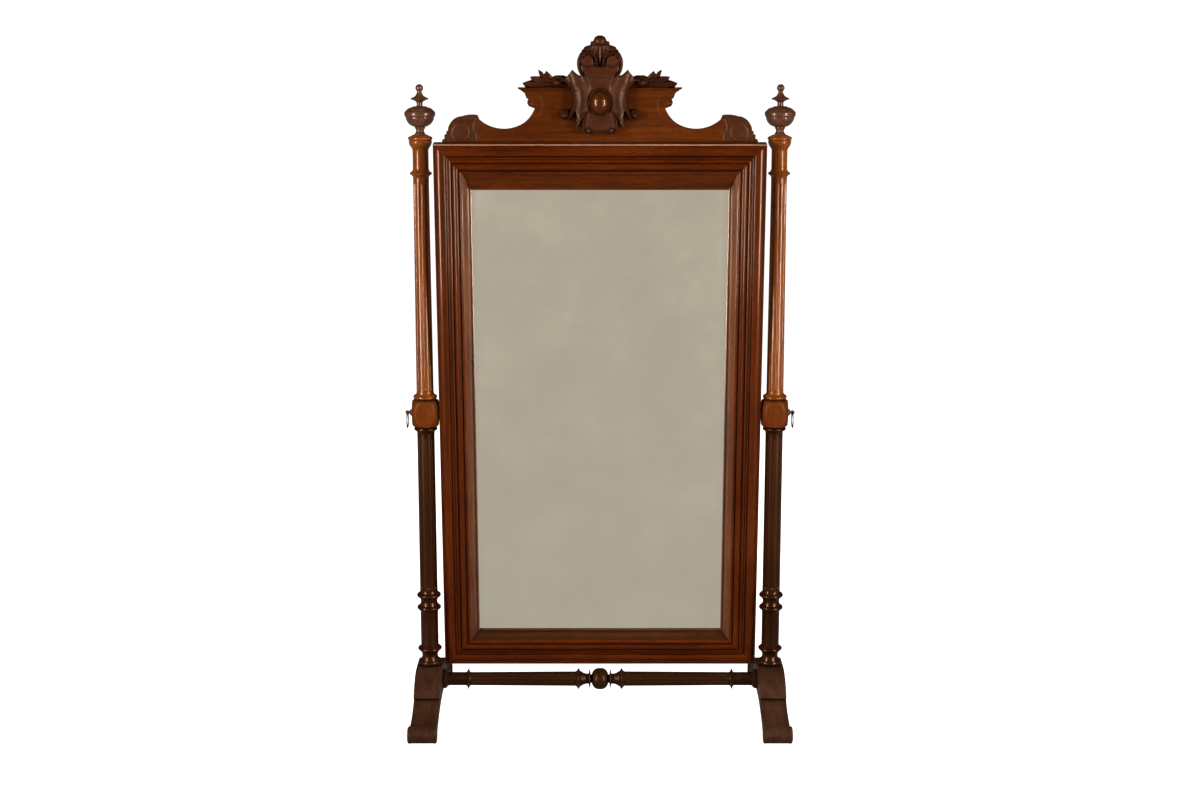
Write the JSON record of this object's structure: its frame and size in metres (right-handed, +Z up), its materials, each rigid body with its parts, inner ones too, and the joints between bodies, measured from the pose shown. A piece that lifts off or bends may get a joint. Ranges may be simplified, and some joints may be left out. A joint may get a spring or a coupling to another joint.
{
  "type": "cheval floor mirror",
  "caption": "Free-standing cheval mirror: moulded wooden frame with carved crest, tilting between two turned posts on arched feet.",
  "frame": {"origin": "on the floor, midway between the two feet", "axes": "+Z up, front of the glass towards -Y, +X along the tilt axis"},
  "size_m": [1.145, 0.6058, 2.0067],
  "materials": {
    "walnut": "French polished, warm red-brown",
    "post_walnut": "French polished, worn lighter",
    "foot_walnut": "dulled polish",
    "carved_walnut": "waxed carving, dark in the hollows",
    "glass": "silvered plate glass, slightly aged",
    "back_boards": "unpolished softwood, aged",
    "hidden_wood": "bare wood",
    "iron": "dark wrought iron",
    "screws": "dulled steel",
    "leather": "hard leather"
  },
  "bodies": {
    "stand": {"left_foot": "foot_walnut", "right_foot": "foot_walnut", "left_post": "post_walnut", "right_post": "post_walnut", "left_finial": "carved_walnut", "right_finial": "carved_walnut", "stretcher": "foot_walnut", "post_bolts": "screws", "stretcher_pegs": "hidden_wood", "left_pivot_bush": "iron", "right_pivot_bush": "iron", "left_pivot_washer": "leather", "right_pivot_washer": "leather"},
    "mirror": {"left_stile": "walnut", "right_stile": "walnut", "top_rail": "walnut", "bottom_rail": "walnut", "left_slip": "walnut", "right_slip": "walnut", "top_slip": "walnut", "bottom_slip": "walnut", "mirror_glass": "glass", "glass_blocks": "hidden_wood", "upper_back_board": "back_boards", "lower_back_board": "back_boards", "back_batten": "hidden_wood", "back_screws": "screws", "mitre_keys": "hidden_wood", "left_pivot_plate": "iron", "right_pivot_plate": "iron", "plate_screws": "screws", "crest_board": "walnut", "left_cornice": "walnut", "right_cornice": "walnut", "left_leaf_spray": "carved_walnut", "right_leaf_spray": "carved_walnut", "left_c_scroll": "carved_walnut", "right_c_scroll": "carved_walnut", "cartouche": "carved_walnut", "cabochon": "carved_walnut", "crest_cleats": "hidden_wood", "cleat_screws": "screws"},
    "left_screw": {"left_pivot_screw": "iron"},
    "right_screw": {"right_pivot_screw": "iron"},
    "left_ring": {"left_pull_ring": "iron"},
    "right_ring": {"right_pull_ring": "iron"}
  },
  "joints": [
    {"name": "mirror_tilt", "type": "hinge", "parent": "stand", "child": "mirror", "pos_m": [0, 0, 0.918], "axis": [1, 0, 0], "range_deg": [-94.1, 85.9]},
    {"name": "left_screw_turn", "type": "hinge", "parent": "stand", "child": "left_screw", "pos_m": [-0.5, 0, 0.918], "axis": [1, 0, 0], "range_deg": [0, 720]},
    {"name": "right_screw_turn", "type": "hinge", "parent": "stand", "child": "right_screw", "pos_m": [0.5, 0, 0.918], "axis": [-1, 0, 0], "range_deg": [0, 720]},
    {"name": "left_ring_swing", "type": "hinge", "parent": "left_screw", "child": "left_ring", "pos_m": [-0.566, 0, 0.918], "axis": [0, 1, 0], "range_deg": [-10, 185]},
    {"name": "right_ring_swing", "type": "hinge", "parent": "right_screw", "child": "right_ring", "pos_m": [0.566, 0, 0.918], "axis": [0, -1, 0], "range_deg": [-10, 185]}
  ]
}
